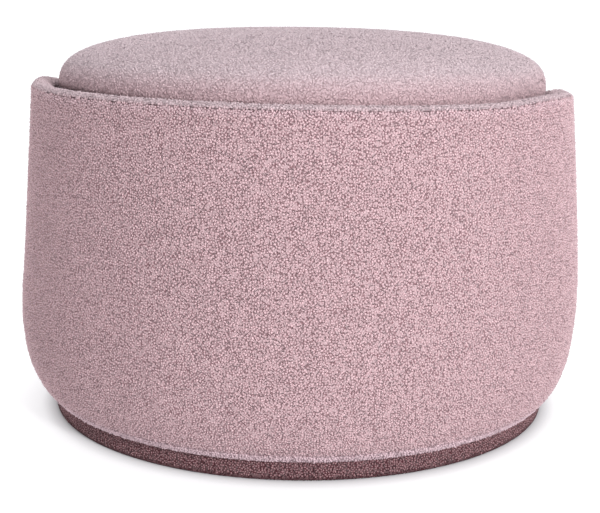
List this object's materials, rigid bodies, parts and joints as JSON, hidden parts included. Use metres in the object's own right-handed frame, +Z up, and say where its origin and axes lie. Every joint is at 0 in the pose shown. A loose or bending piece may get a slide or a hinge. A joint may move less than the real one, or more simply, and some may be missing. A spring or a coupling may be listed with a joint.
{
  "type": "boucle pouf",
  "caption": "Round pouf in boucle cloth: a padded drum on a set-in plinth, with a domed seat cushion lying in its raised rim.",
  "frame": {"origin": "centre of the plinth's flat underside, where the pouf stands on the floor", "axes": "+Z up through the crown of the seat cushion, +X to the right and +Y away as the picture shows it"},
  "size_m": [0.6006, 0.6004, 0.401],
  "materials": {
    "plinth_boucle": "boucle, short curly pile, dusty pink",
    "wall_boucle": "boucle, short curly pile, dusty pink",
    "facing_boucle": "boucle, short curly pile, dusty pink",
    "seat_boucle": "boucle, short curly pile, dusty pink"
  },
  "bodies": {
    "root": {"plinth": "plinth_boucle", "body": "wall_boucle", "rim_facing": "facing_boucle", "seat_cushion": "seat_boucle"}
  },
  "joints": []
}
